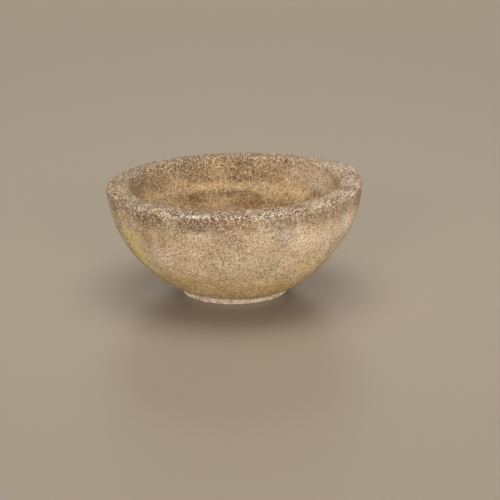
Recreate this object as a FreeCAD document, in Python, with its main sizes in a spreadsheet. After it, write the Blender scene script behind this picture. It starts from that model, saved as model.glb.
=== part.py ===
"""Stone bowl planter: a thick round bowl, bedded in mortar and pinned on a low pale foot.

Millimetres, +Z up, origin at the centre of the foot's underside. +X is the side where the rim stands highest.
Every piece is an object of one document, its sizes bound to the cells of two sheets: "sizes" holds the
driving dimensions, and "worked" the values that follow from them.
"""

import FreeCAD
import Part
import Sketcher
import math
import os
from enum import IntEnum

PARTS_FOLDER = "parts"
UP = FreeCAD.Vector(0, 0, 1)

# The driving dimensions: alias, value in millimetres or copies, meaning.
SIZES = (
    ("rim_diameter", 520, "bowl across its rim, before the edge is worn"),
    ("bowl_height", 226, "floor to the middle of the rim's top"),
    ("rim_fall", 12.6, "how much lower the hand-levelled rim is at -X than at +X"),
    ("rim_width", 46, "wall at the rim"),
    ("wall_curve", 250, "radius of the outer wall's section"),
    ("heel_diameter", 239, "flat underside of the bowl, before its edge is rounded"),
    ("base_thickness", 38, "stone between the hollow and the underside"),
    ("floor_diameter", 52, "flat middle of the hollow, round the drain"),
    ("ledge_height", 163, "floor to the ledge round the hollow"),
    ("ledge_width", 4, "ledge, between the well below it and the mouth above it"),
    ("ledge_round", 2.5, "worn edge of the ledge, over the well"),
    ("outer_lip_round", 6, "worn outer edge of the rim"),
    ("inner_lip_round", 4, "worn inner edge of the rim"),
    ("heel_round", 20, "soft edge where the wall meets the underside"),
    ("drain_diameter", 25, "drain hole through the bowl, the bed and the foot"),
    ("foot_diameter", 217, "pale foot"),
    ("foot_height", 11, "pale foot"),
    ("foot_edge_round", 2.5, "worn edges of the foot's side"),
    ("bed_thickness", 4, "mortar between the foot and the bowl"),
    ("bed_setback", 3, "how far the mortar stands back from the foot's side"),
    ("pin_diameter", 8, "steel pins between the foot and the bowl"),
    ("pin_circle", 130, "circle through the pins' centres"),
    ("pin_in_foot", 7, "depth of a pin in the foot"),
    ("pin_in_bowl", 21, "depth of a pin in the bowl"),
    ("pin_clearance", 0.3, "room round a pin and above it, which grout fills"),
    ("pin_count", 4, "number of pins"),
)

# The values that follow. The outer wall is an arc from the edge of the underside to the rim. The hollow has two
# arcs. The well's leaves the flat floor level, on its way to the inside of the rim, and stops at the ledge. The
# mouth's rises from the outside of the ledge and is upright at the rim.
WORKED = (
    ("seat_height", "=sizes.foot_height + sizes.bed_thickness", "underside of the bowl"),
    ("floor_height", "=seat_height + sizes.base_thickness", "floor of the hollow"),
    ("trim_height", "=sizes.bowl_height + sizes.rim_fall", "top of the bowl before its rim is cut"),
    ("rim_radius", "=sizes.rim_diameter / 2", "outside of the rim"),
    ("mouth_radius", "=rim_radius - sizes.rim_width", "inside of the rim"),
    ("heel_radius", "=sizes.heel_diameter / 2", "edge of the underside"),
    ("floor_radius", "=sizes.floor_diameter / 2", "edge of the hollow's flat floor"),
    ("wall_run", "=rim_radius - heel_radius", "outer wall, level"),
    ("wall_rise", "=sizes.bowl_height - seat_height", "outer wall, upright"),
    ("wall_chord", "=sqrt(wall_run ^ 2 + wall_rise ^ 2)", "outer wall, straight"),
    ("chord_offset", "=sqrt(sizes.wall_curve ^ 2 - wall_chord ^ 2 / 4)", "wall's centre from that chord"),
    (
        "wall_centre_x",
        "=(rim_radius + heel_radius) / 2 - chord_offset * wall_rise / wall_chord",
        "centre of the outer wall's arc, from the axis",
    ),
    (
        "wall_centre_z",
        "=(sizes.bowl_height + seat_height) / 2 + chord_offset * wall_run / wall_chord",
        "centre of the outer wall's arc, from the ground",
    ),
    ("hollow_run", "=mouth_radius - floor_radius", "hollow, from its floor's edge to its mouth, level"),
    ("hollow_rise", "=sizes.bowl_height - floor_height", "hollow, from its floor to its mouth"),
    ("well_curve", "=(hollow_run ^ 2 + hollow_rise ^ 2) / 2 / hollow_rise", "radius of the well's arc"),
    ("well_centre_z", "=floor_height + well_curve", "centre of the well's arc, from the ground"),
    (
        "well_radius",
        "=floor_radius + sqrt(well_curve ^ 2 - (well_centre_z - sizes.ledge_height) ^ 2)",
        "inside of the ledge",
    ),
    ("ledge_radius", "=well_radius + sizes.ledge_width", "outside of the ledge"),
    ("mouth_run", "=mouth_radius - ledge_radius", "hollow above the ledge, level"),
    ("mouth_rise", "=sizes.bowl_height - sizes.ledge_height", "hollow above the ledge, upright"),
    ("mouth_curve", "=(mouth_run ^ 2 + mouth_rise ^ 2) / 2 / mouth_run", "radius of the mouth's arc"),
    ("mouth_centre_x", "=mouth_radius - mouth_curve", "centre of the mouth's arc, from the axis"),
    ("bed_diameter", "=sizes.foot_diameter - 2 * sizes.bed_setback", "mortar bed"),
    ("pin_base", "=sizes.foot_height - sizes.pin_in_foot", "lower end of the pins"),
    ("pin_length", "=sizes.pin_in_foot + sizes.bed_thickness + sizes.pin_in_bowl", "a whole pin"),
    ("pin_hole", "=sizes.pin_diameter + 2 * sizes.pin_clearance", "hole for a pin, across"),
)


class Spot(IntEnum):
    """How a sketch numbers the points of an edge."""

    start = 1
    end = 2
    centre = 3


class Axis(IntEnum):
    """How a sketch numbers its own axes."""

    level = -1
    upright = -2


# A sketch's origin is where its level axis starts.
ORIGIN = (Axis.level, Spot.start)

doc = FreeCAD.newDocument("stone_planter")


def add_sheet(name, rows):
    """A sheet with one row for each value: its meaning, then the value or formula under its alias."""
    sheet = doc.addObject("Spreadsheet::Sheet", name)
    for row, (alias, content, meaning) in enumerate(rows, 1):
        sheet.set(f"A{row}", meaning)
        sheet.set(f"B{row}", str(content))
        sheet.setAlias(f"B{row}", alias)
        doc.recompute()
    return sheet


sizes = add_sheet("sizes", SIZES)
worked = add_sheet("worked", WORKED)


def value_of(expression):
    """An expression over the sheets as a plain number, in millimetres or copies."""
    result = sizes.evalExpression(expression)
    return float(getattr(result, "Value", result))


def bind(item, **expressions):
    """Binds an object's properties to expressions over the sheets."""
    for name, expression in expressions.items():
        item.setExpression(name, expression)


def add(kind, name):
    """A new object, whose name and label are those of its piece."""
    item = doc.addObject(kind, name)
    item.Label = name
    return item


# Sketches.


def point(x, y):
    """A point of a sketch."""
    return FreeCAD.Vector(x, y, 0)


def sketch_on(body, role, name):
    """An empty sketch on one of its body's own origin planes."""
    sketch = body.newObject("Sketcher::SketchObject", name)
    plane = next(feature for feature in body.Origin.OriginFeatures if feature.Role == role)
    sketch.AttachmentSupport = [(plane, "")]
    sketch.MapMode = "FlatFace"
    return sketch


def constrain(sketch, kind, *where):
    """Adds a constraint without a size."""
    sketch.addConstraint(Sketcher.Constraint(kind, *where))


def dimension(sketch, name, kind, expression, *where):
    """Adds a named dimension that is bound to an expression."""
    index = sketch.addConstraint(Sketcher.Constraint(kind, *where, value_of(expression)))
    sketch.renameConstraint(index, name)
    sketch.setExpression(f"Constraints.{name}", expression)


def add_ring(sketch, edges):
    """Adds edges that follow each other round a closed outline."""
    for edge in edges:
        sketch.addGeometry(edge, False)
    for index in range(len(edges)):
        constrain(sketch, "Coincident", index, Spot.end, (index + 1) % len(edges), Spot.start)


def turned_section(body, name, floor, reach, centre_x, centre_z, lid="worked.trim_height"):
    """Half section about the axis: a flat floor, an arc that rises from the floor's edge, and a flat lid."""
    sketch = sketch_on(body, "XZ_Plane", name)
    inside = point(0, value_of(floor))
    edge = point(value_of(reach), inside.y)
    top = point(0, value_of(lid))
    centre = point(value_of(centre_x), value_of(centre_z))
    radius = edge.distanceToPoint(centre)
    low = math.atan2(edge.y - centre.y, edge.x - centre.x)
    high = math.asin((top.y - centre.y) / radius)
    arc = Part.ArcOfCircle(Part.Circle(centre, UP, radius), low, high)
    over = Part.LineSegment(arc.EndPoint, top)
    add_ring(sketch, [Part.LineSegment(inside, edge), arc, over, Part.LineSegment(top, inside)])
    floor_line, arc_line, lid_line, axis_line = range(4)
    constrain(sketch, "Horizontal", floor_line)
    constrain(sketch, "Horizontal", lid_line)
    constrain(sketch, "PointOnObject", axis_line, Spot.start, Axis.upright)
    constrain(sketch, "PointOnObject", axis_line, Spot.end, Axis.upright)
    dimension(sketch, "floor", "DistanceY", floor, *ORIGIN, floor_line, Spot.start)
    dimension(sketch, "reach", "DistanceX", reach, *ORIGIN, floor_line, Spot.end)
    dimension(sketch, "lid", "DistanceY", lid, *ORIGIN, lid_line, Spot.end)
    dimension(sketch, "centre_x", "DistanceX", centre_x, *ORIGIN, arc_line, Spot.centre)
    dimension(sketch, "centre_z", "DistanceY", centre_z, *ORIGIN, arc_line, Spot.centre)
    return sketch


def rim_trim(body):
    """Outline of what is cut away above the rim: its lower edge falls across the bowl, towards -X."""
    sketch = sketch_on(body, "XZ_Plane", "rim_trim")
    left = "-sizes.rim_diameter"
    right = "sizes.rim_diameter"
    low = "sizes.bowl_height - sizes.rim_fall"
    high = "sizes.bowl_height + sizes.rim_fall"
    clear = "sizes.bowl_height + sizes.rim_diameter"
    spots = [(left, low), (right, high), (right, clear), (left, clear)]
    corners = [point(value_of(x), value_of(z)) for x, z in spots]
    add_ring(sketch, [Part.LineSegment(a, b) for a, b in zip(corners, corners[1:] + corners[:1])])
    rim_line, right_line, clear_line, left_line = range(4)
    constrain(sketch, "Vertical", right_line)
    constrain(sketch, "Horizontal", clear_line)
    constrain(sketch, "Vertical", left_line)
    dimension(sketch, "left", "DistanceX", left, *ORIGIN, rim_line, Spot.start)
    dimension(sketch, "low", "DistanceY", low, *ORIGIN, rim_line, Spot.start)
    dimension(sketch, "right", "DistanceX", right, *ORIGIN, rim_line, Spot.end)
    dimension(sketch, "high", "DistanceY", high, *ORIGIN, rim_line, Spot.end)
    dimension(sketch, "clear", "DistanceY", clear, *ORIGIN, clear_line, Spot.start)
    return sketch


def circle_on_axis(body, name, diameter):
    """A circle round the axis, on the body's ground plane."""
    sketch = sketch_on(body, "XY_Plane", name)
    sketch.addGeometry(Part.Circle(point(0, 0), UP, value_of(diameter) / 2), False)
    constrain(sketch, "Coincident", 0, Spot.centre, *ORIGIN)
    dimension(sketch, "diameter", "Diameter", diameter, 0)
    return sketch


def circle_off_axis(body, name, diameter, distance, level):
    """A circle beside the axis, at a bound level over the body's ground plane."""
    sketch = sketch_on(body, "XY_Plane", name)
    sketch.setExpression("AttachmentOffset.Base.z", level)
    sketch.addGeometry(Part.Circle(point(value_of(distance), 0), UP, value_of(diameter) / 2), False)
    constrain(sketch, "PointOnObject", 0, Spot.centre, Axis.level)
    dimension(sketch, "distance", "DistanceX", distance, *ORIGIN, 0, Spot.centre)
    dimension(sketch, "diameter", "Diameter", diameter, 0)
    return sketch


# Features.


def feature_from(sketch, body, kind, name):
    """A feature that is made from a sketch."""
    feature = body.newObject(kind, name)
    feature.Profile = sketch
    return feature


def turn_round(sketch, body, kind, name):
    """Turns a sketch through a full circle about its upright axis."""
    feature = feature_from(sketch, body, kind, name)
    feature.ReferenceAxis = (sketch, ["V_Axis"])
    feature.Angle = 360
    doc.recompute()


def cut_through(sketch, body, name):
    """Cuts a sketch's outline right through the body, both ways from the sketch."""
    feature = feature_from(sketch, body, "PartDesign::Pocket", name)
    feature.SideType = "Symmetric"
    feature.Type = "ThroughAll"
    doc.recompute()


def drill_drain(body):
    """The drain hole, straight through the body along its axis."""
    circle = circle_on_axis(body, f"{body.Name}_drain_circle", "sizes.drain_diameter")
    cut_through(circle, body, f"{body.Name}_drain")


def bore_for_pins(body, level, depth, upwards):
    """The ring of pin holes, so deep up or down from a level of the body."""
    name = f"{body.Name}_pin_hole"
    circle = circle_off_axis(body, f"{name}_circle", "worked.pin_hole", "sizes.pin_circle / 2", level)
    hole = feature_from(circle, body, "PartDesign::Pocket", name)
    hole.Reversed = upwards
    bind(hole, Length=depth)
    doc.recompute()
    ring = body.newObject("PartDesign::PolarPattern", f"{name}s")
    ring.Originals = [hole]
    ring.Axis = (circle, ["N_Axis"])
    ring.Angle = 360
    bind(ring, Occurrences="sizes.pin_count")
    body.Tip = ring
    doc.recompute()


def flat_face(shape, level):
    """The flat face of a shape that lies nearest to a level."""
    flats = [face for face in shape.Faces if isinstance(face.Surface, Part.Plane)]
    height = value_of(level)
    return min(flats, key=lambda face: abs(face.CenterOfMass.z - height))


def inner_wires(face):
    """The edges of a face's holes."""
    return [wire for wire in face.Wires if not wire.isSame(face.OuterWire)]


def round_edges(body, name, wires, radius):
    """Rounds the edges of some wires of the body's last feature."""
    base = body.Tip
    chosen = [edge for wire in wires for edge in wire.Edges]
    numbered = enumerate(base.Shape.Edges, 1)
    names = [f"Edge{index}" for index, edge in numbered if any(edge.isSame(other) for other in chosen)]
    feature = body.newObject("PartDesign::Fillet", name)
    feature.Base = (base, names)
    bind(feature, Radius=radius)
    doc.recompute()


# Pieces.


def turn_hollow(bowl):
    """Hollows the bowl in two cuts, a mouth and a narrower well below it, which leave a ledge between them."""
    mouth = turned_section(
        bowl,
        "mouth_section",
        floor="sizes.ledge_height",
        reach="worked.ledge_radius",
        centre_x="worked.mouth_centre_x",
        centre_z="sizes.bowl_height",
    )
    turn_round(mouth, bowl, "PartDesign::Groove", "mouth")
    well = turned_section(
        bowl,
        "well_section",
        floor="worked.floor_height",
        reach="worked.floor_radius",
        centre_x="worked.floor_radius",
        centre_z="worked.well_centre_z",
        lid="sizes.ledge_height + sizes.ledge_width",
    )
    turn_round(well, bowl, "PartDesign::Groove", "well")
    ledge = flat_face(bowl.Tip.Shape, "sizes.ledge_height")
    round_edges(bowl, "ledge_edge", inner_wires(ledge), "sizes.ledge_round")


def make_bowl():
    """The bowl: turned, hollowed, cut to its sloping rim, worn at its edges, and bored for the drain and pins."""
    bowl = add("PartDesign::Body", "bowl")
    wall = turned_section(
        bowl,
        "wall_section",
        floor="worked.seat_height",
        reach="worked.heel_radius",
        centre_x="worked.wall_centre_x",
        centre_z="worked.wall_centre_z",
    )
    turn_round(wall, bowl, "PartDesign::Revolution", "wall")
    turn_hollow(bowl)
    cut_through(rim_trim(bowl), bowl, "rim_slope")
    rim = flat_face(bowl.Tip.Shape, "sizes.bowl_height")
    round_edges(bowl, "outer_lip", [rim.OuterWire], "sizes.outer_lip_round")
    rim = flat_face(bowl.Tip.Shape, "sizes.bowl_height")
    round_edges(bowl, "inner_lip", inner_wires(rim), "sizes.inner_lip_round")
    underside = flat_face(bowl.Tip.Shape, "worked.seat_height")
    round_edges(bowl, "heel", [underside.OuterWire], "sizes.heel_round")
    drill_drain(bowl)
    depth = "sizes.pin_in_bowl + sizes.pin_clearance"
    bore_for_pins(bowl, "worked.seat_height", depth, upwards=True)
    return bowl


def make_disc(name, diameter, thickness):
    """A flat disc on the ground plane of its body."""
    disc = add("PartDesign::Body", name)
    outline = circle_on_axis(disc, f"{name}_outline", diameter)
    pad = feature_from(outline, disc, "PartDesign::Pad", f"{name}_disc")
    bind(pad, Length=thickness)
    doc.recompute()
    return disc


def make_foot():
    """The pale foot, with worn edges, the drain and blind holes for the pins."""
    foot = make_disc("foot", "sizes.foot_diameter", "sizes.foot_height")
    for name, level in (("foot_lower_edge", "0"), ("foot_upper_edge", "sizes.foot_height")):
        edge = flat_face(foot.Tip.Shape, level).OuterWire
        round_edges(foot, name, [edge], "sizes.foot_edge_round")
    drill_drain(foot)
    bore_for_pins(foot, "sizes.foot_height", "sizes.pin_in_foot", upwards=False)
    return foot


def make_bed():
    """The mortar bed on the foot, which the drain and the pins pass through."""
    bed = make_disc("mortar_bed", "worked.bed_diameter", "sizes.bed_thickness")
    drill_drain(bed)
    bore_for_pins(bed, "sizes.bed_thickness", "sizes.bed_thickness", upwards=False)
    bind(bed, Placement="placement(vector(0; 0; sizes.foot_height); rotation(0; 0; 0))")
    return bed


def make_pins():
    """The ring of pins, which stand in the foot and key the bowl to it."""
    pins = add("Part::Compound", "foot_pins")
    for index in range(round(value_of("sizes.pin_count"))):
        pin = add("Part::Cylinder", f"pin_{index + 1}")
        bind(pin, Radius="sizes.pin_diameter / 2", Height="worked.pin_length")
        turn = f"{index} * 360 / sizes.pin_count"
        across = f"sizes.pin_circle / 2 * cos({turn})"
        along = f"sizes.pin_circle / 2 * sin({turn})"
        bind(pin, Placement=f"placement(vector({across}; {along}; worked.pin_base); rotation({turn}; 0; 0))")
        pins.Links = [*pins.Links, pin]
    return pins


def check(pieces):
    """Stops the build if any object failed to compute or any piece has no sound shape."""
    for item in doc.Objects:
        if "Invalid" in item.State or "Error" in item.State:
            raise RuntimeError(f"{item.Label} failed to compute: {item.State}")
    for piece in pieces:
        if piece.Shape.isNull() or not piece.Shape.isValid():
            raise RuntimeError(f"{piece.Label} has no sound shape")


def main():
    pieces = [make_bowl(), make_bed(), make_foot(), make_pins()]
    doc.recompute()
    check(pieces)
    os.makedirs(PARTS_FOLDER, exist_ok=True)
    for piece in pieces:
        piece.Shape.exportStep(os.path.join(PARTS_FOLDER, f"{piece.Label}.step"))
        print(f"{piece.Label}: {len(piece.Shape.Solids)} solids, {piece.Shape.Volume / 1000:.2f} cm3")


main()
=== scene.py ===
# %% [markdown]
# # A weathered cast-stone bowl planter
# The object is a thick round bowl, cast from a coarse mix of sand and crushed stone and left outdoors for
# years. The smooth solids come from the frame. This lesson gives them the skin of old stone: the uneven
# form of a hand-made bowl, exposed grains, pits, chips along the rim, and the stains that rain, soil and
# algae leave.

# %% The frame
import math

import bmesh
import bpy
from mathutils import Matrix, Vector
from mathutils.bvhtree import BVHTree


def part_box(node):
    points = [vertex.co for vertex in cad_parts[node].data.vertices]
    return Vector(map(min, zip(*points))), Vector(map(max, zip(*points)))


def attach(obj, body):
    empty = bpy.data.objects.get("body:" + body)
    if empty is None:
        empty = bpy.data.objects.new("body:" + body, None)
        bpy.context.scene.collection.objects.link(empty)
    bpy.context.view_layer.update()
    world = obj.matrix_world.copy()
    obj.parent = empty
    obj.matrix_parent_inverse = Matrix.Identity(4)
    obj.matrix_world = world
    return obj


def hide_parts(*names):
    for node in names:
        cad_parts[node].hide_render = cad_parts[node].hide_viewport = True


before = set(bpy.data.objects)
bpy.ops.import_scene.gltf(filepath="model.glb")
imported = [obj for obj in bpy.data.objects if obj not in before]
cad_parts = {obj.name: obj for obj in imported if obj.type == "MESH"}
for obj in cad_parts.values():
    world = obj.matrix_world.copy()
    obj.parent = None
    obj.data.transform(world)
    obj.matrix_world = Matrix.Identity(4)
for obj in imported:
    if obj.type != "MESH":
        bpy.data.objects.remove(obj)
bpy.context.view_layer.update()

MM = 0.001
bowl_low, bowl_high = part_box("bowl")
foot_low, foot_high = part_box("foot")
print("bowl", [round(v / MM) for v in bowl_high - bowl_low], "mm")
print("foot", [round(v / MM) for v in foot_high - foot_low], "mm")

# %% [markdown]
# ## Camera
# The photograph shows hardly any perspective, so the camera stands well away and has a long lens. How far
# away can't be told from the picture: 4.5 m is a choice, and the angle and the lens are fitted to it. The
# camera stands on the -Y side, above the bowl, and is aimed slightly to the right of and below the bowl's
# middle, which puts the bowl where it is in the picture.

# %% Camera
CAMERA_DISTANCE = 4.5
CAMERA_RISE = math.radians(16.15)
CAMERA_LENS = 158.6
BOWL_MIDDLE = Vector((0, 0, 0.112))
AIM_RIGHT = 31.8 * MM
AIM_DOWN = 28.2 * MM


def add_object(name, data):
    """A new object in the scene."""
    item = bpy.data.objects.new(name, data)
    bpy.context.scene.collection.objects.link(item)
    return item


def aim_at(item, target):
    """Turns a camera or a lamp towards a point."""
    item.rotation_euler = (target - item.location).to_track_quat("-Z", "Y").to_euler()


def add_camera():
    """The photograph's camera, in front of the bowl and above it."""
    camera = add_object("camera", bpy.data.cameras.new("camera"))
    camera.data.lens = CAMERA_LENS
    back = Vector((0, -math.cos(CAMERA_RISE), math.sin(CAMERA_RISE)))
    up = Vector((0, math.sin(CAMERA_RISE), math.cos(CAMERA_RISE)))
    camera.location = BOWL_MIDDLE + CAMERA_DISTANCE * back
    aim_at(camera, BOWL_MIDDLE + Vector((AIM_RIGHT, 0, 0)) - AIM_DOWN * up)
    bpy.context.scene.camera = camera
    return camera


camera = add_camera()
print("camera at", [round(v, 2) for v in camera.location])

# %% [markdown]
# ## Node trees, written as calls
# A material or a geometry tree is easier to read as a formula than as a list of nodes and links. This
# small class adds a node at each call, feeds it numbers or other nodes' outputs, and returns its output.
# It serves shaders and geometry alike, because both use the same math and texture nodes.

# %% A writer for node trees


class Nodes:
    """Writes a node tree: each method adds a node and returns the output that the next one takes."""

    def __init__(self, tree):
        self.tree = tree

    def add(self, kind, inputs=None, **settings):
        """Any node, with its settings and its inputs by name or number."""
        node = self.tree.nodes.new(kind)
        for name, value in settings.items():
            setattr(node, name, value)
        for key, value in (inputs or {}).items():
            self.feed(node.inputs[key], value)
        return node

    def feed(self, socket, value):
        """Links an output to a socket, or sets the socket to a plain value."""
        if isinstance(value, bpy.types.NodeSocket):
            self.tree.links.new(value, socket)
        else:
            socket.default_value = value

    def math(self, operation, a, b=0.0):
        """One arithmetic step on numbers."""
        return self.add("ShaderNodeMath", {0: a, 1: b}, operation=operation).outputs[0]

    def total(self, *terms):
        """The sum of several numbers."""
        result = terms[0]
        for term in terms[1:]:
            result = self.math("ADD", result, term)
        return result

    def product(self, *factors):
        """The product of several numbers."""
        result = factors[0]
        for factor in factors[1:]:
            result = self.math("MULTIPLY", result, factor)
        return result

    def vector(self, operation, a, b=(0.0, 0.0, 0.0), scale=1.0, out=0):
        """One arithmetic step on vectors."""
        inputs = {0: a, 1: b, 3: scale}
        return self.add("ShaderNodeVectorMath", inputs, operation=operation).outputs[out]

    def ramp(self, value, low, high, start=0.0, end=1.0):
        """A soft step: start at low and before it, end at high and past it."""
        inputs = {0: value, 1: low, 2: high, 3: start, 4: end}
        return self.add("ShaderNodeMapRange", inputs, interpolation_type="SMOOTHSTEP").outputs[0]

    def noise(self, place, size, detail=2.0, roughness=0.5):
        """Cloudy noise about 0.5, with lumps about as large as size."""
        scale = self.math("DIVIDE", 1.0, size)
        inputs = {"Vector": place, "Scale": scale, "Detail": detail, "Roughness": roughness}
        return self.add("ShaderNodeTexNoise", inputs).outputs[0]

    def about_zero(self, value):
        """Noise about 0.5 as noise about 0."""
        return self.math("SUBTRACT", value, 0.5)

    def cells(self, place, size):
        """A random packing of cells about as large as size: the node, for its several outputs."""
        scale = self.math("DIVIDE", 1.0, size)
        return self.add("ShaderNodeTexVoronoi", {"Vector": place, "Scale": scale})

    def split(self, place):
        """X, Y and Z of a vector."""
        return self.add("ShaderNodeSeparateXYZ", {0: place}).outputs

    def join(self, x, y, z):
        """A vector from its three parts."""
        return self.add("ShaderNodeCombineXYZ", {0: x, 1: y, 2: z}).outputs[0]

    def mix(self, mask, below, above):
        """Colour above over colour below, where the mask is 1."""
        inputs = {0: mask, 6: below, 7: above}
        return self.add("ShaderNodeMix", inputs, data_type="RGBA").outputs[2]

    def group(self, kind, tree, inputs):
        """A node group, with its inputs by name."""
        node = self.add(kind)
        node.node_tree = tree
        for name, value in inputs.items():
            self.feed(node.inputs[name], value)
        return node.outputs


FLOAT, VECTOR, COLOUR = "NodeSocketFloat", "NodeSocketVector", "NodeSocketColor"
GEOMETRY, MATERIAL = "NodeSocketGeometry", "NodeSocketMaterial"
INTEGER = "NodeSocketInt"


def new_group(kind, name, inputs, outputs):
    """A node group with named inputs and outputs: its tree, its writer, and both ends' sockets."""
    tree = bpy.data.node_groups.new(name, kind)
    for socket, type_name in inputs.items():
        tree.interface.new_socket(socket, in_out="INPUT", socket_type=type_name)
    for socket, type_name in outputs.items():
        tree.interface.new_socket(socket, in_out="OUTPUT", socket_type=type_name)
    given = tree.nodes.new("NodeGroupInput").outputs
    made = tree.nodes.new("NodeGroupOutput").inputs
    return tree, Nodes(tree), given, made


print("node writer ready")

# %% [markdown]
# ## Studio
# Old stone is matt, so a plain soft light is enough. The shadow in the photograph lies right under the
# bowl, so one softbox hangs overhead. A wide one behind the camera lights the near wall down to the foot
# and looks over the lip into the hollow. A third, broad and a little warm, stands behind the bowl. It
# lights the floor under the bowl's sides, and the floor's slight polish mirrors it, except in front of the
# foot, where the floor mirrors the bowl. It is the only lamp that the floor mirrors: the front one would
# show as a white patch when seen from behind. A faint pale world keeps the shadows open. All are set so
# that a colour renders about as it is written.

# %% Floor and lights
FLOOR_COLOUR = (0.425, 0.35, 0.268)
FLOOR_ROUGHNESS = 0.35
FLOOR_SIZE = 24
TOP_LIGHT_PLACE = Vector((0.1, 0.2, 3.1))
FRONT_LIGHT_PLACE = Vector((-0.1, -4.5, 1.35))
REAR_LIGHT_PLACE = Vector((0, 4.2, 1.3))
WHITE = (1.0, 1.0, 1.0)
WARM_WHITE = (1.0, 0.87, 0.72)
WORLD_COLOUR = (1.0, 0.92, 0.82, 1)


def add_floor():
    """A plain floor under the bowl, which isn't part of the object."""
    mesh = bpy.data.meshes.new("floor")
    half = FLOOR_SIZE / 2
    corners = [(-half, -half, 0), (half, -half, 0), (half, half, 0), (-half, half, 0)]
    mesh.from_pydata(corners, [], [(0, 1, 2, 3)])
    finish = bpy.data.materials.new("floor_plain")
    finish.use_nodes = True
    shader = finish.node_tree.nodes["Principled BSDF"]
    shader.inputs["Base Color"].default_value = (*FLOOR_COLOUR, 1)
    shader.inputs["Roughness"].default_value = FLOOR_ROUGHNESS
    mesh.materials.append(finish)
    add_object("floor", mesh)


def add_softbox(name, width, height, power, place, colour=WHITE, mirrored=False):
    """A flat lamp that faces the bowl, and that the floor mirrors if so asked."""
    lamp = add_object(name, bpy.data.lights.new(name, "AREA"))
    lamp.data.shape = "RECTANGLE"
    lamp.data.size = width
    lamp.data.size_y = height
    lamp.data.energy = power
    lamp.data.color = colour
    lamp.location = place
    lamp.visible_camera = False
    lamp.visible_glossy = mirrored
    aim_at(lamp, BOWL_MIDDLE)


def light_world(strength):
    """Plain pale light from all round."""
    world = bpy.data.worlds.new("studio")
    world.use_nodes = True
    background = world.node_tree.nodes["Background"]
    background.inputs["Color"].default_value = WORLD_COLOUR
    background.inputs["Strength"].default_value = strength
    bpy.context.scene.world = world


add_floor()
add_softbox("top_light", width=2.2, height=2.2, power=50, place=TOP_LIGHT_PLACE)
add_softbox("front_light", width=8.5, height=2.0, power=256, place=FRONT_LIGHT_PLACE)
add_softbox(
    "rear_light", width=7.0, height=2.5, power=45, place=REAR_LIGHT_PLACE, colour=WARM_WHITE, mirrored=True
)
light_world(strength=0.085)
bpy.context.scene.view_settings.view_transform = "Standard"
print("floor and three lamps ready")

# %% [markdown]
# ## Where on the bowl
# Shape and stains depend on where a point is: how far under the rim, and whether on the outside or in the
# hollow. Both follow from the point's place alone. The rim lies on a plane that rises towards +X. The
# hollow's wall stays near one arc turned about the axis, so a point that lies close to that arc is in the
# hollow. The same few nodes serve the shape and the colours, so a function writes them into either kind of
# tree.

# %% Measures of the bowl
RIM_HEIGHT = 226 * MM
RIM_SLOPE = 12.6 / 520
RIM_RADIUS = bowl_high.x
SEAT_HEIGHT = bowl_low.z
HOLLOW_FLOOR_RADIUS = 26 * MM
HOLLOW_CENTRE_HEIGHT = 241.6 * MM
HOLLOW_CURVE = 188.6 * MM


def bowl_places(n, place):
    """Depth under the rim, hollow (1 inside, 0 outside) and distance from the axis of a point on the bowl."""
    x, y, z = n.split(place)
    rim = n.math("ADD", n.product(x, RIM_SLOPE), RIM_HEIGHT)
    depth = n.math("SUBTRACT", rim, z)
    radius = n.vector("LENGTH", n.join(x, y, 0.0), out=1)
    across = n.math("SUBTRACT", radius, HOLLOW_FLOOR_RADIUS)
    above = n.math("SUBTRACT", z, HOLLOW_CENTRE_HEIGHT)
    from_centre = n.vector("LENGTH", n.join(across, 0.0, above), out=1)
    off_wall = n.math("ABSOLUTE", n.math("SUBTRACT", from_centre, HOLLOW_CURVE))
    hollow = n.ramp(off_wall, 20 * MM, 9 * MM)
    return depth, hollow, radius


print("rim from", round((RIM_HEIGHT - RIM_SLOPE * RIM_RADIUS) / MM), "to", round(bowl_high.z / MM), "mm")

# %% [markdown]
# ## An even mesh to work on
# The frame's solids have long thin triangles, which can't carry fine relief. A voxel remesh gives every
# part of a piece faces of one size. The copy is merged first, because the frame's meshes are loose
# triangles.

# %% Even copies of the solids


def merged_mesh(node):
    """A copy of a CAD node's mesh, with its loose triangles joined."""
    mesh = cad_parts[node].data.copy()
    mesh.materials.clear()
    shape = bmesh.new()
    shape.from_mesh(mesh)
    bmesh.ops.remove_doubles(shape, verts=shape.verts, dist=0.01 * MM)
    shape.to_mesh(mesh)
    shape.free()
    return mesh


def even_copy(name, node, face_size):
    """A new piece in a CAD node's shape, which a live remesh gives faces of one size."""
    piece = add_object(name, merged_mesh(node))
    remesh = piece.modifiers.new("even_faces", "REMESH")
    remesh.mode = "VOXEL"
    remesh.voxel_size = face_size
    return piece


def add_tree(piece, tree, **values):
    """Runs a geometry tree on a piece, with its inputs given by name, before anything is evaluated."""
    modifier = piece.modifiers.new(tree.name, "NODES")
    modifier.node_group = tree
    sockets = {item.name: item.identifier for item in tree.interface.items_tree if item.in_out == "INPUT"}
    for name, value in values.items():
        modifier[sockets[name]] = value


def bake(piece):
    """Makes what a piece's modifiers give into its own plain mesh."""
    graph = bpy.context.evaluated_depsgraph_get()
    shown = piece.evaluated_get(graph)
    mesh = bpy.data.meshes.new_from_object(shown, preserve_all_data_layers=True, depsgraph=graph)
    mesh.name = piece.name
    piece.modifiers.clear()
    piece.data = mesh
    mesh.calc_loop_triangles()
    print(piece.name, len(mesh.loop_triangles), "triangles")


print("remesh helpers ready")

# %% [markdown]
# ## Hand-made form
# Nobody turned this bowl on a lathe. Its rim stands a little higher at the two sides, and highest at one
# corner of the back. The front lip is crowned, the right flank is slimmer than the left, and the ledge
# inside wanders up and down. One geometry tree moves the even mesh that way, with a slow noise over it
# all. The moves fade out low down, so the bowl still sits flat on its foot.

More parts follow.
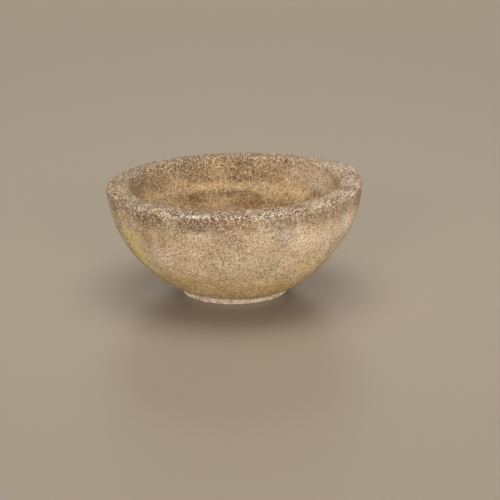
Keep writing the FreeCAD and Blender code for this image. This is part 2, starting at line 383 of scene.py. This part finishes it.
# %% A tree for the hand-made form
LEDGE_HEIGHT = 163 * MM
HIGH_CORNER = Vector((0.235, 0.095, 0))
RISE_FADES_OUT = 70 * MM
RIM_WAVE = 60 * MM
LEDGE_WAVE = 80 * MM
WALL_WAVE = 150 * MM
LIP_CROWN_WIDTH = 34 * MM


def rim_rise(n, given, x, y, depth, radius):
    """How far the rim stands above its plane: both sides, the high corner and the crowned front lip."""
    across = n.math("SUBTRACT", n.product(x, x), n.product(y, y))
    sides = n.product(n.math("DIVIDE", across, n.product(radius, radius)), given["Sides"])
    from_corner = n.vector("DISTANCE", n.join(x, y, 0.0), HIGH_CORNER, out=1)
    corner = n.product(n.ramp(from_corner, 100 * MM, 20 * MM), given["Corner"])
    front = n.ramp(y, -0.3 * RIM_RADIUS, -0.9 * RIM_RADIUS)
    crown = n.product(front, n.ramp(radius, RIM_RADIUS, RIM_RADIUS - LIP_CROWN_WIDTH), given["Crown"])
    wave = n.product(n.about_zero(n.noise(n.join(x, y, 0.0), RIM_WAVE, 1.0)), given["Swell"])
    return n.product(n.total(sides, corner, crown, wave), n.ramp(depth, RISE_FADES_OUT, 0.0))


def ledge_wave(n, given, place, hollow):
    """How far the hollow's ledge wanders up or down."""
    x, y, z = n.split(place)
    wave = n.about_zero(n.noise(n.join(x, y, 0.0), LEDGE_WAVE))
    near = n.product(n.ramp(z, LEDGE_HEIGHT - 45 * MM, LEDGE_HEIGHT - 8 * MM), n.ramp(z, 210 * MM, 175 * MM))
    return n.product(wave, near, hollow, given["Ledge"])


def wall_swell(n, given, place, hollow):
    """How far the wall stands out along its normal: slow swells and the slim flank."""
    x, _, z = n.split(place)
    swell = n.product(n.about_zero(n.noise(place, WALL_WAVE, 1.0)), given["Swell"])
    slim = n.product(n.ramp(x, 40 * MM, 170 * MM), n.ramp(z, 170 * MM, 100 * MM), given["Slim"])
    outside = n.product(n.math("SUBTRACT", swell, slim), n.ramp(z, SEAT_HEIGHT, SEAT_HEIGHT + 40 * MM))
    return n.math("ADD", outside, n.product(hollow, n.math("SUBTRACT", swell, outside)))


def hand_form_tree():
    """Moves the wall, the rim and the hollow off the exact form."""
    inputs = {"Stone": GEOMETRY, "Swell": FLOAT, "Sides": FLOAT, "Corner": FLOAT, "Crown": FLOAT}
    inputs |= {"Slim": FLOAT, "Ledge": FLOAT}
    tree, n, given, made = new_group("GeometryNodeTree", "hand_form", inputs, {"Stone": GEOMETRY})
    place = n.add("GeometryNodeInputPosition").outputs[0]
    normal = n.add("GeometryNodeInputNormal").outputs[0]
    depth, hollow, radius = bowl_places(n, place)
    x, y, _ = n.split(place)
    outward = n.vector("SCALE", normal, scale=wall_swell(n, given, place, hollow))
    rise = n.math("ADD", rim_rise(n, given, x, y, depth, radius), ledge_wave(n, given, place, hollow))
    offset = n.vector("ADD", outward, n.join(0.0, 0.0, rise))
    moved = n.add("GeometryNodeSetPosition", {"Geometry": given["Stone"], "Offset": offset})
    n.feed(made["Stone"], moved.outputs[0])
    return tree


hand_form = hand_form_tree()
print("tree", hand_form.name, "has", len(hand_form.nodes), "nodes")

# %% [markdown]
# ## Worn skin
# Frost and rain take the fine cement from cast stone, so lumps and single grains stand out, and pits open
# where grains fell. Edges lose whole chips. A second tree moves the surface along its normals by several
# sizes of noise at once. The chips come where a noise is high and the surface lies near a worn edge, whose
# place is a ring: a radius and a height. Each point also stores how deep its chip is, for the material to
# use.

# %% A tree for the worn skin
LUMP_SIZE = 26 * MM
GRAIN_SIZE = 4.5 * MM
PIT_SIZE = 9 * MM
CHIP_SIZE = 34 * MM


def worn_skin_tree():
    """Lumps, grains, pits, and chips along a ring-shaped edge."""
    inputs = {
        "Stone": GEOMETRY,
        "Lumps": FLOAT,
        "Grains": FLOAT,
        "Pits": FLOAT,
        "Chips": FLOAT,
        "Edge radius": FLOAT,
        "Edge height": FLOAT,
        "Edge slope": FLOAT,
        "Edge reach": FLOAT,
        "Lowest": FLOAT,
        "Finish": MATERIAL,
    }
    tree, n, given, made = new_group("GeometryNodeTree", "worn_skin", inputs, {"Stone": GEOMETRY})
    place = n.add("GeometryNodeInputPosition").outputs[0]
    normal = n.add("GeometryNodeInputNormal").outputs[0]
    x, y, z = n.split(place)
    lumps = n.product(n.about_zero(n.noise(place, LUMP_SIZE, 2.0)), given["Lumps"])
    grains = n.product(n.about_zero(n.noise(place, GRAIN_SIZE, 2.0, 0.7)), given["Grains"])
    hole = n.ramp(n.noise(place, PIT_SIZE, 2.0), 0.36, 0.25)
    pits = n.product(hole, given["Pits"])
    radius = n.vector("LENGTH", n.join(x, y, 0.0), out=1)
    edge_height = n.math("ADD", given["Edge height"], n.product(x, given["Edge slope"]))
    aside = n.math("SUBTRACT", radius, given["Edge radius"])
    above = n.math("SUBTRACT", z, edge_height)
    from_edge = n.vector("LENGTH", n.join(aside, 0.0, above), out=1)
    near_edge = n.ramp(n.math("DIVIDE", from_edge, given["Edge reach"]), 1.0, 0.35)
    chip = n.product(near_edge, n.ramp(n.noise(place, CHIP_SIZE, 4.0, 0.6), 0.52, 0.66))
    depth = n.total(lumps, grains)
    depth = n.math("SUBTRACT", n.math("SUBTRACT", depth, pits), n.product(chip, given["Chips"]))
    moved = n.vector("ADD", place, n.vector("SCALE", normal, scale=depth))
    end_x, end_y, end_z = n.split(moved)
    place_now = n.join(end_x, end_y, n.math("MAXIMUM", end_z, given["Lowest"]))
    noted = {"Geometry": given["Stone"], "Name": "chip", "Value": chip}
    stone = n.add("GeometryNodeStoreNamedAttribute", noted)
    stone = n.add("GeometryNodeSetPosition", {"Geometry": stone.outputs[0], "Position": place_now})
    stone = n.add("GeometryNodeSetShadeSmooth", {"Geometry": stone.outputs[0]})
    stone = n.add("GeometryNodeSetMaterial", {"Geometry": stone.outputs[0], "Material": given["Finish"]})
    n.feed(made["Stone"], stone.outputs[0])
    return tree


worn_skin = worn_skin_tree()
print("tree", worn_skin.name, "has", len(worn_skin.nodes), "nodes")

# %% [markdown]
# ## Grain of the stone
# Seen close, cast stone is a packing of sand and crushed rock: each grain has a tone of its own, and the
# cement between grains lies lower, where it holds dirt and lies in shade. Voronoi cells are such a packing.
# The group gives a random tone for each grain, a mask of the gaps, and a height for the bump; the materials
# darken the gaps for dirt and as painted shade. Every stone material places it with its own size.

# %% A group for the grain


def stone_grain_group():
    """Tone, gaps and height of a packing of grains of the given size."""
    inputs = {"Place": VECTOR, "Size": FLOAT}
    outputs = {"Tone": FLOAT, "Gap": FLOAT, "Height": FLOAT}
    tree, n, given, made = new_group("ShaderNodeTree", "stone_grain", inputs, outputs)
    bend = n.noise(given["Place"], given["Size"], 1.0)
    place = n.vector("ADD", given["Place"], n.vector("SCALE", n.join(bend, bend, bend), scale=given["Size"]))
    packing = n.cells(place, given["Size"])
    distance = packing.outputs["Distance"]
    n.feed(made["Tone"], n.split(packing.outputs["Color"])[0])
    n.feed(made["Gap"], n.ramp(distance, 0.45, 0.8))
    n.feed(made["Height"], n.ramp(distance, 0.85, 0.0))
    return tree


stone_grain = stone_grain_group()
print("group", stone_grain.name, "ready")

# %% [markdown]
# ## Stains
# A stain on a garden bowl is a soft patch with a ragged edge: a run of dark lichen under the rim, algae
# where water drips, a pale bloom of lime. One group makes such a patch about a centre on the wall, wider
# or taller as asked. A noise shared by all stains frays their edges. The centres are found by casting rays
# at the bowl, so a stain is written as an angle and a height.

# %% A group for one stain, and where stains lie


def stain_group():
    """Mask of one patch, which reaches from its centre along each axis and is frayed by a shared noise."""
    inputs = {"Place": VECTOR, "Centre": VECTOR, "Reach": VECTOR, "Fray": FLOAT}
    tree, n, given, made = new_group("ShaderNodeTree", "stain", inputs, {"Mask": FLOAT})
    offset = n.vector("SUBTRACT", given["Place"], given["Centre"])
    distance = n.vector("LENGTH", n.vector("DIVIDE", offset, given["Reach"]), out=1)
    n.feed(made["Mask"], n.ramp(n.math("ADD", distance, given["Fray"]), 1.35, 0.45))
    return tree


stain = stain_group()
bowl_tree = BVHTree.FromObject(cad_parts["bowl"], bpy.context.evaluated_depsgraph_get())


def outer_point(angle, height):
    """A point on the outside: degrees from the front towards +X, and millimetres from the floor."""
    turn = math.radians(angle)
    outward = Vector((math.sin(turn), -math.cos(turn), 0))
    return bowl_tree.ray_cast(outward + Vector((0, 0, height * MM)), -outward)[0]


def hollow_point(angle, height):
    """A point in the hollow: degrees from the back towards +X, and millimetres from the floor."""
    turn = math.radians(angle)
    outward = Vector((math.sin(turn), math.cos(turn), 0))
    return bowl_tree.ray_cast(Vector((0, 0, height * MM)), outward)[0]


print("front of the belly at", [round(v / MM) for v in outer_point(0, 120)], "mm")

# %% [markdown]
# ## Colours of the bowl
# From top to bottom the photograph shows a grey-brown rim with pale and dark grains, a dark weathered band
# that runs down in streaks, a buff belly with cream and lilac blooms, yellow-green algae on both flanks
# and an ochre heel. The hollow is warmer: brown stains over a golden band. The lip has lost pale chips
# along its edge, lime has bloomed in a ragged band round the foot, and the right side is bleached. Two
# marks are painted light and shade: the rim turns browner towards the back as painted shade, and the far
# right flank is lightened as painted light, where it turns away from the lamps. The colours are layered
# in that order, each over the last. The sides that the photograph doesn't show get the same kinds of stain.

# %% Colours and stains
BUFF = (0.51, 0.368, 0.222, 1)
CREAM = (0.69, 0.535, 0.36, 1)
OCHRE = (0.525, 0.34, 0.122, 1)
UMBER = (0.24, 0.154, 0.096, 1)
BROWN = (0.42, 0.255, 0.12, 1)
ALGAE = (0.74, 0.56, 0.22, 1)
LILAC = (0.60, 0.50, 0.45, 1)
PINK = (0.58, 0.41, 0.27, 1)
RUST = (0.44, 0.20, 0.07, 1)
GOLD = (0.75, 0.53, 0.28, 1)
LIME = (0.78, 0.70, 0.58, 1)
GREY = (0.46, 0.335, 0.245, 1)
TAN = (0.40, 0.258, 0.138, 1)
SOIL = (0.24, 0.16, 0.09, 1)

# Angle in degrees, height, half width and half height in millimetres, colour, strength.
OUTER_STAINS = (
    (36, 160, 58, 28, CREAM, 0.9),
    (12, 176, 30, 20, CREAM, 0.6),
    (5, 132, 50, 22, CREAM, 0.5),
    (62, 158, 42, 30, PINK, 0.6),
    # The next two pale patches on the far right flank are partly the stone's colour and partly painted light,
    # where the flank turns away from the lamps.
    (69, 168, 32, 36, CREAM, 0.85),
    (61, 173, 26, 26, LIME, 0.6),
    (-70, 160, 18, 22, PINK, 0.6),
    (-60, 192, 18, 16, GOLD, 0.4),
    (10, 170, 16, 10, GOLD, 0.5),
    (-22, 130, 48, 34, GOLD, 0.3),
    (-36, 132, 34, 30, CREAM, 0.4),
    (-57, 146, 34, 30, ALGAE, 0.9),
    (-57, 106, 32, 28, ALGAE, 0.9),
    (20, 68, 26, 16, ALGAE, 0.35),
    (-67, 206, 24, 12, UMBER, 0.45),
    (-42, 203, 46, 22, UMBER, 0.9),
    (-17, 206, 46, 18, UMBER, 1.0),
    (3, 204, 34, 12, BROWN, 0.5),
    (24, 204, 22, 18, UMBER, 0.5),
    (41, 209, 58, 14, UMBER, 0.5),
    (58, 206, 18, 10, UMBER, 0.5),
    (77, 206, 25, 20, UMBER, 0.5),
    (-44, 165, 11, 42, BROWN, 0.9),
    (-35, 165, 11, 42, BROWN, 0.8),
    (-31, 108, 9, 30, BROWN, 0.5),
    (24, 179, 15, 12, LILAC, 0.75),
    (-8, 56, 11, 6, RUST, 0.6),
    (3, 44, 30, 15, RUST, 0.3),
    (-24, 38, 26, 12, PINK, 0.45),
    (-36, 78, 44, 26, OCHRE, 0.5),
    (-38, 55, 32, 16, BROWN, 0.6),
    (-13, 72, 13, 9, BROWN, 0.5),
    (0, 84, 22, 9, BROWN, 0.45),
    (27, 58, 20, 10, BROWN, 0.3),
    (42, 74, 40, 26, CREAM, 0.3),
    (43, 98, 38, 17, ALGAE, 0.55),
    (112, 205, 150, 22, UMBER, 0.7),
    (150, 120, 45, 40, ALGAE, 0.6),
    (-170, 150, 80, 34, CREAM, 0.7),
    (-115, 200, 110, 24, UMBER, 0.7),
    (-125, 90, 50, 28, ALGAE, 0.5),
    (98, 165, 11, 46, BROWN, 0.5),
    (-150, 175, 11, 45, BROWN, 0.5),
    (180, 210, 120, 14, UMBER, 0.6),
)
HOLLOW_STAINS = (
    (3, 167, 165, 9, GOLD, 0.95),
    (30, 160, 56, 22, GOLD, 0.8),
    (-24, 165, 34, 10, GOLD, 0.5),
    (-10, 196, 26, 18, GOLD, 0.45),
    (46, 202, 64, 28, PINK, 0.6),
    (54, 192, 50, 26, CREAM, 0.45),
    (37, 206, 8, 8, LIME, 0.35),
    (62, 196, 40, 22, LILAC, 0.3),
    (-33, 213, 14, 13, UMBER, 0.65),
    (-65, 206, 22, 18, UMBER, 0.35),
    (-50, 184, 26, 10, UMBER, 0.35),
    (-27, 191, 13, 12, UMBER, 0.5),
    (4, 213, 22, 11, UMBER, 0.45),
    (9, 194, 12, 16, RUST, 0.35),
    (-55, 157, 36, 14, GOLD, 1.0),
    (-27, 144, 42, 9, RUST, 0.65),
    (1, 151, 44, 7, BROWN, 0.85),
    (17, 166, 32, 11, CREAM, 0.8),
    (16, 159, 24, 8, GOLD, 0.7),
    (8, 132, 36, 8, RUST, 0.45),
    (58, 170, 26, 11, BROWN, 0.8),
    (120, 190, 80, 26, UMBER, 0.5),
    (-120, 170, 80, 20, GOLD, 0.6),
    (175, 185, 90, 26, UMBER, 0.5),
)
LIP_CHIPS = (
    (-24, 222, 14, 8, LIME, 0.9),
    (-18, 222, 14, 8, LIME, 1.0),
    (-12.5, 222, 9, 9, LIME, 1.0),
    (13, 224, 12, 9, LILAC, 0.9),
    (21, 224, 9, 8, LIME, 1.0),
    (-44, 221, 10, 7, LIME, 0.6),
    (38, 224, 12, 7, LIME, 0.6),
    (66, 226, 14, 7, LIME, 0.6),
    (-120, 220, 20, 7, LIME, 0.8),
    (155, 225, 24, 7, LIME, 0.8),
)
print(len(OUTER_STAINS), "stains outside,", len(HOLLOW_STAINS), "in the hollow")
print(len(LIP_CHIPS), "pale chips along the lip")

# %% The colour group of the bowl
CLOUD_SIZE = 55 * MM
FRAY_SIZE = 24 * MM
RUN_SIZE = 26 * MM
RAGGED_SIZE = 13 * MM
BLOOM_SIZE = 9 * MM

# Where each layer of colour begins and is full: from the floor up, from the rim down, or from the lip.
HEEL_HEIGHTS = (105 * MM, 45 * MM)
SOIL_HEIGHTS = (130 * MM, 70 * MM)
BLOOM_HEIGHTS = (14.5 * MM, 10 * MM)
DARK_DEPTHS = (48 * MM, 0.0)
TAN_DEPTHS = (58 * MM, 20 * MM)
RIM_DEPTHS = (9 * MM, 1 * MM)
LIP_REACH = (7 * MM, 3 * MM)


def lay_stains(n, colour, place, fray, stains, point_at, where):
    """Stains over a colour, one after another, where a mask lets them."""
    for angle, height, width, tall, tint, strength in stains:
        reach = (width * MM, width * MM, tall * MM)
        spot = {"Place": place, "Centre": point_at(angle, height), "Reach": reach, "Fray": fray}
        mask = n.group("ShaderNodeGroup", stain, spot)["Mask"]
        colour = n.mix(n.product(mask, where, strength), colour, tint)
    return colour


def bowl_colour_group():
    """The bowl's colour at a place, before its single grains."""
    tree, n, given, made = new_group("ShaderNodeTree", "bowl_colour", {"Place": VECTOR}, {"Colour": COLOUR})
    place = given["Place"]
    depth, hollow, radius = bowl_places(n, place)
    x, y, z = n.split(place)
    clouds = n.noise(place, CLOUD_SIZE, 4.0, 0.6)
    fray = n.product(n.about_zero(n.noise(place, FRAY_SIZE, 4.0, 0.65)), 1.5)
    runs = n.noise(n.vector("MULTIPLY", place, (1.0, 1.0, 0.25)), RUN_SIZE, 3.0)

    wall = n.mix(n.ramp(clouds, 0.42, 0.68), BUFF, CREAM)
    low = n.ramp(n.math("ADD", z, n.product(n.about_zero(clouds), 90 * MM)), *HEEL_HEIGHTS)
    wall = n.mix(n.product(low, 0.95), wall, OCHRE)
    high = n.ramp(n.math("SUBTRACT", depth, n.product(n.about_zero(runs), 90 * MM)), *DARK_DEPTHS)
    wall = n.mix(n.product(high, 0.66), wall, UMBER)
    wall = lay_stains(n, wall, place, fray, OUTER_STAINS, outer_point, 1.0)

    inside = n.mix(n.ramp(clouds, 0.34, 0.62), BROWN, GOLD)
    top = n.ramp(n.math("SUBTRACT", depth, n.product(n.about_zero(runs), 60 * MM)), *TAN_DEPTHS)
    inside = n.mix(n.product(top, 0.75), inside, TAN)
    inside = lay_stains(n, inside, place, fray, HOLLOW_STAINS, hollow_point, 1.0)
    soil = n.ramp(n.math("ADD", z, n.product(n.about_zero(clouds), 70 * MM)), *SOIL_HEIGHTS)
    inside = n.mix(n.product(soil, 0.75), inside, SOIL)

    colour = n.mix(hollow, wall, inside)
    rim = n.ramp(n.math("SUBTRACT", depth, n.product(n.about_zero(clouds), 10 * MM)), *RIM_DEPTHS)
    # The rim top pales towards +X and turns darker and browner towards the back; the darker, browner back is
    # painted shade.
    rim_grade = n.mix(n.ramp(x, 0.3 * RIM_RADIUS, 0.9 * RIM_RADIUS, 0.0, 0.33), GREY, LIME)
    rim_grade = n.mix(n.ramp(y, 0.4 * RIM_RADIUS, 0.9 * RIM_RADIUS, 0.0, 0.6), rim_grade, BROWN)
    colour = n.mix(n.product(rim, 0.8), colour, n.mix(n.ramp(clouds, 0.34, 0.56), UMBER, rim_grade))
    aside = n.math("SUBTRACT", radius, RIM_RADIUS - 4 * MM)
    from_lip = n.vector("LENGTH", n.join(aside, 0.0, depth), out=1)
    colour = lay_stains(n, colour, place, fray, LIP_CHIPS, outer_point, n.ramp(from_lip, *LIP_REACH))

    ragged = n.product(n.about_zero(n.noise(place, RAGGED_SIZE, 4.0, 0.65)), 22 * MM)
    bloom = n.ramp(n.math("ADD", z, ragged), *BLOOM_HEIGHTS)
    pale = n.mix(n.ramp(n.noise(place, BLOOM_SIZE, 3.0), 0.35, 0.65), PINK, LIME)
    colour = n.mix(n.product(bloom, 0.9), colour, pale)
    # Paler towards +X: the right side's own bleached stone, and on the far right flank painted light as well,
    # where the flank turns away from the lamps.
    pale_side_and_flank_light = n.ramp(x, 0.0, 0.85 * RIM_RADIUS, 1.0, 1.28)
    pale_side_and_flank_light = n.math("ADD", pale_side_and_flank_light, n.ramp(x, 0.8 * RIM_RADIUS, RIM_RADIUS, 0.0, 0.25))
    n.feed(made["Colour"], n.vector("SCALE", colour, scale=pale_side_and_flank_light))
    return tree


bowl_colour = bowl_colour_group()
print("group", bowl_colour.name, "has", len(bowl_colour.nodes), "nodes")

# %% [markdown]
# ## Stone materials
# A stone material takes a colour that follows the place, then breaks it into grains: two sizes of packing
# lighten or darken it grain by grain, the gaps are darkened for dirt and as painted shade, and the same
# heights feed the bump. Fresh chips show pale lime. All of it reads Object coordinates, which are the
# frame's own, so neighbouring pieces match where they meet.

# %% The bowl's material


def new_material(name, roughness):
    """A matt material: the material, its writer, its shader and the Object coordinates."""
    material = bpy.data.materials.new(name)
    material.use_nodes = True
    shader = material.node_tree.nodes["Principled BSDF"]
    shader.inputs["Roughness"].default_value = roughness
    shader.inputs["Specular IOR Level"].default_value = 0.25
    shader.inputs["Diffuse Roughness"].default_value = 1.0
    n = Nodes(material.node_tree)
    place = n.add("ShaderNodeTexCoord").outputs["Object"]
    return material, n, shader, place


PALE_GRAIN = (0.76, 0.605, 0.40, 1)
DARK_GRAIN = (0.17, 0.11, 0.065, 1)


def grained(n, place, colour, coarse, fine, contrast):
    """A colour broken into two sizes of grain, and the height that goes with it."""
    large = n.group("ShaderNodeGroup", stone_grain, {"Place": place, "Size": coarse})
    small = n.group("ShaderNodeGroup", stone_grain, {"Place": place, "Size": fine})
    pale = n.product(n.ramp(large["Tone"], 0.6, 1.0), contrast)
    dark = n.product(n.ramp(large["Tone"], 0.4, 0.0), contrast)
    colour = n.mix(n.product(pale, 0.6), colour, PALE_GRAIN)
    colour = n.mix(n.product(dark, 0.6), colour, DARK_GRAIN)
    # The gaps between grains lie lower: they are darkened for dirt and as painted shade in the recesses.
    dirt_and_gap_shade = n.total(n.product(large["Gap"], 0.15), n.product(small["Gap"], 0.15))
    light = n.math("SUBTRACT", n.total(1.07, n.product(n.about_zero(small["Tone"]), contrast, 0.6)), dirt_and_gap_shade)
    colour = n.vector("SCALE", colour, scale=light)
    height = n.total(large["Height"], n.product(small["Height"], 0.6))
    return colour, height


def bump(n, shader, height, depth):
    """Feeds a height to the shader's normal, so many metres deep."""
    relief = n.add("ShaderNodeBump", {"Height": height, "Distance": depth, "Strength": 0.9})
    n.feed(shader.inputs["Normal"], relief.outputs[0])


def bowl_stone_material():
    """Weathered cast stone with fresh chips."""
    material, n, shader, place = new_material("weathered_stone", 0.92)
    colour = n.group("ShaderNodeGroup", bowl_colour, {"Place": place})["Colour"]
    chip = n.add("ShaderNodeAttribute", attribute_name="chip").outputs["Fac"]
    colour = n.mix(n.product(n.ramp(chip, 0.25, 0.8), 0.45), colour, LIME)
    depth = bowl_places(n, place)[0]
    contrast = n.total(n.ramp(depth, 50 * MM, 16 * MM, 1.25, 1.5), n.ramp(depth, 12 * MM, 3 * MM, 0.0, 1.3))
    colour, height = grained(n, place, colour, 2.4 * MM, 1.3 * MM, contrast)
    n.feed(shader.inputs["Base Color"], colour)
    bump(n, shader, height, 0.8 * MM)
    return material


bowl_stone = bowl_stone_material()
print("material", bowl_stone.name, "ready")

# %% [markdown]
# ## The bowl
# The pieces come together here: an even copy of the CAD bowl, moved by the two trees and baked to a plain
# mesh.

# %% Bowl
BOWL_FACE = 3.3 * MM

bowl = even_copy("bowl_skin", "bowl", BOWL_FACE)
HAND = {"Swell": 4 * MM, "Sides": 1.5 * MM, "Corner": 5 * MM, "Crown": 3 * MM}
HAND |= {"Slim": 4 * MM, "Ledge": 14 * MM}
add_tree(bowl, hand_form, **HAND)
add_tree(
    bowl,
    worn_skin,
    **{
        "Lumps": 2.0 * MM,
        "Grains": 2.0 * MM,
        "Pits": 1.5 * MM,
        "Chips": 5.0 * MM,
        "Edge radius": RIM_RADIUS - 3 * MM,
        "Edge height": RIM_HEIGHT - 3 * MM,
        "Edge slope": RIM_SLOPE,
        "Edge reach": 12 * MM,
        "Lowest": SEAT_HEIGHT,
        "Finish": bowl_stone,
    },
)
bake(bowl)
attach(bowl, "root")
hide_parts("bowl")

# %% [markdown]
# ## Exposed grains
# The coarsest grains stand clear of the cement, most of all on the rim, where rain has washed longest.
# They are real little stones here, because a bump can't break the outline of the lip. Geometry Nodes
# scatter thousands of them over the baked bowl: points a set distance apart, a twenty-faced pebble on
# each, sunk a little into the stone, turned and stretched at random with a fixed seed. Each pebble stores
# a tone of its own for its material.

# %% A tree for the exposed grains
GRAIN_DENSITY = 40000.0
GRAIN_SUNK = 0.4
WASHED_FROM = 40 * MM
WASHED_TO = 6 * MM


def random_vector(n, low, high, seed):
    """A random vector for each point."""
    inputs = {0: (low, low, low), 1: (high, high, high), 8: seed}
    return n.add("FunctionNodeRandomValue", inputs, data_type="FLOAT_VECTOR").outputs[0]


def random_number(n, low, high, seed):
    """A random number for each point."""
    return n.add("FunctionNodeRandomValue", {2: low, 3: high, 8: seed}, data_type="FLOAT").outputs[1]


def exposed_grains_tree():
    """Pebbles over a piece of stone, thickest near the rim and none on the underside."""
    inputs = {"Stone": GEOMETRY, "Spacing": FLOAT, "Smallest": FLOAT, "Largest": FLOAT}
    inputs |= {"Seed": INTEGER, "Finish": MATERIAL}
    tree, n, given, made = new_group("GeometryNodeTree", "exposed_grains", inputs, {"Grains": GEOMETRY})
    place = n.add("GeometryNodeInputPosition").outputs[0]
    depth = bowl_places(n, place)[0]
    z = n.split(place)[2]
    off_seat = n.ramp(z, SEAT_HEIGHT + 8 * MM, SEAT_HEIGHT + 30 * MM)
    thick = n.product(n.ramp(depth, 80 * MM, 8 * MM, 0.35, 1.0), off_seat)
    scatter = {"Mesh": given["Stone"], "Distance Min": given["Spacing"], "Density Max": GRAIN_DENSITY}
    scatter |= {"Density Factor": thick, "Seed": given["Seed"]}
    spots = n.add("GeometryNodeDistributePointsOnFaces", scatter, distribute_method="POISSON").outputs
    pebble = n.add("GeometryNodeMeshIcoSphere", {"Radius": 1.0, "Subdivisions": 1}).outputs[0]
    rim_grade = n.ramp(depth, WASHED_FROM, WASHED_TO, 0.85, 1.3)
    size = n.product(random_number(n, given["Smallest"], given["Largest"], given["Seed"]), rim_grade)
    sunk = n.vector("SCALE", spots["Normal"], scale=n.product(size, -GRAIN_SUNK))
    spots = n.add("GeometryNodeSetPosition", {"Geometry": spots["Points"], "Offset": sunk}).outputs[0]
    stretch = n.vector("SCALE", random_vector(n, 0.7, 1.2, given["Seed"]), scale=size)
    turn = random_vector(n, 0.0, math.tau, given["Seed"])
    copies = {"Points": spots, "Instance": pebble, "Rotation": turn, "Scale": stretch}
    placed = n.add("GeometryNodeInstanceOnPoints", copies).outputs[0]
    tone = random_number(n, 0.0, 1.0, given["Seed"])
    toned = {"Geometry": placed, "Name": "tone", "Value": tone}
    placed = n.add("GeometryNodeStoreNamedAttribute", toned, domain="INSTANCE").outputs[0]
    real = n.add("GeometryNodeRealizeInstances", {0: placed}).outputs[0]
    real = n.add("GeometryNodeSetShadeSmooth", {0: real}).outputs[0]
    done = n.add("GeometryNodeSetMaterial", {"Geometry": real, "Material": given["Finish"]})
    n.feed(made["Grains"], done.outputs[0])
    return tree


exposed_grains = exposed_grains_tree()
print("tree", exposed_grains.name, "has", len(exposed_grains.nodes), "nodes")

# %% The grains' material, and the grains


def grain_material():
    """Single grains: the bowl's own colour where they lie, with some paler and some darker stones."""
    material, n, shader, place = new_material("grain_stone", 0.85)
    colour = n.group("ShaderNodeGroup", bowl_colour, {"Place": place})["Colour"]
    tone = n.add("ShaderNodeAttribute", attribute_name="tone").outputs["Fac"]
    bare = n.ramp(bowl_places(n, place)[0], WASHED_FROM, WASHED_TO, 0.6, 0.95)
    colour = n.mix(n.product(n.ramp(tone, 0.55, 0.9), bare), colour, PALE_GRAIN)
    colour = n.mix(n.product(n.ramp(tone, 0.4, 0.1), bare), colour, DARK_GRAIN)
    speck = n.noise(place, 1.2 * MM, 2.0)
    colour = n.vector("SCALE", colour, scale=n.ramp(speck, 0.3, 0.7, 0.8, 1.25))
    n.feed(shader.inputs["Base Color"], colour)
    bump(n, shader, speck, 0.3 * MM)
    return material


grains = add_object("exposed_grains", bowl.data.copy())
add_tree(
    grains,
    exposed_grains,
    **{
        "Spacing": 4.5 * MM,
        "Smallest": 0.6 * MM,
        "Largest": 1.3 * MM,
        "Seed": 7,
        "Finish": grain_material(),
    },
)
bake(grains)
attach(grains, "root")

# %% [markdown]
# ## Foot and joint
# The foot is a disc of the same stone with worn, ragged edges. The mortar between foot and bowl was wiped
# off flush when wet, so the joint hardly shows. Both get the same worn skin as the bowl, on a finer mesh,
# and the same colour group, which carries the lime and the ochre dirt across all three. Nothing goes under
# the floor.

# %% The foot's and the joint's materials


def soft_stone_material(name, coarse):
    """The bowl's own colours, with grains that stand out less."""
    material, n, shader, place = new_material(name, 0.93)
    colour = n.group("ShaderNodeGroup", bowl_colour, {"Place": place})["Colour"]
    colour, height = grained(n, place, colour, coarse, coarse / 2, 0.6)
    n.feed(shader.inputs["Base Color"], colour)
    bump(n, shader, height, 0.6 * MM)
    return material


FOOT_FACE = 1.8 * MM
FOOT_EDGE = {"Edge radius": foot_high.x - 1 * MM, "Edge height": foot_high.z - 2 * MM, "Edge reach": 11 * MM}

foot = even_copy("foot_skin", "foot", FOOT_FACE)
foot_finish = soft_stone_material("limed_stone", 3.2 * MM)
foot_wear = {"Lumps": 2.6 * MM, "Grains": 1.6 * MM, "Pits": 1.0 * MM, "Chips": 3.0 * MM, "Lowest": 0.0}
add_tree(foot, worn_skin, **foot_wear, **FOOT_EDGE, Finish=foot_finish)
bake(foot)
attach(foot, "root")
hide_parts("foot")

# %% The joint
JOINT_SPREAD = 1.022

joint = even_copy("joint_skin", "mortar_bed", FOOT_FACE)
for corner in joint.data.vertices:
    corner.co.x *= JOINT_SPREAD
    corner.co.y *= JOINT_SPREAD
joint_wear = {"Lumps": 2.0 * MM, "Grains": 1.6 * MM, "Pits": 1.0 * MM, "Lowest": foot_high.z}
add_tree(joint, worn_skin, **joint_wear, Finish=soft_stone_material("wiped_mortar", 2.4 * MM))
bake(joint)
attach(joint, "root")
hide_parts("mortar_bed")

# %% [markdown]
# ## Pins
# Four steel pins key the bowl to its foot. Nothing shows of them while the bowl stands on the foot, so the
# CAD rods stay as they are, under a brown skin of rust that the mortar's damp has raised.

# %% Rust for the pins
RUST_DARK = (0.10, 0.045, 0.022, 1)
RUST_BRIGHT = (0.34, 0.13, 0.045, 1)


def rusted_steel_material():
    """Mild steel under a patchy skin of rust."""
    material, n, shader, place = new_material("rusted_steel", 0.8)
    patches = n.noise(place, 6 * MM, 5.0, 0.65)
    n.feed(shader.inputs["Base Color"], n.mix(n.ramp(patches, 0.35, 0.65), RUST_DARK, RUST_BRIGHT))
    n.feed(shader.inputs["Roughness"], n.ramp(patches, 0.3, 0.7, 0.55, 0.95))
    bump(n, shader, patches, 0.3 * MM)
    return material


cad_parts["foot_pins"].material_slots[0].material = rusted_steel_material()
print("pins rusted")
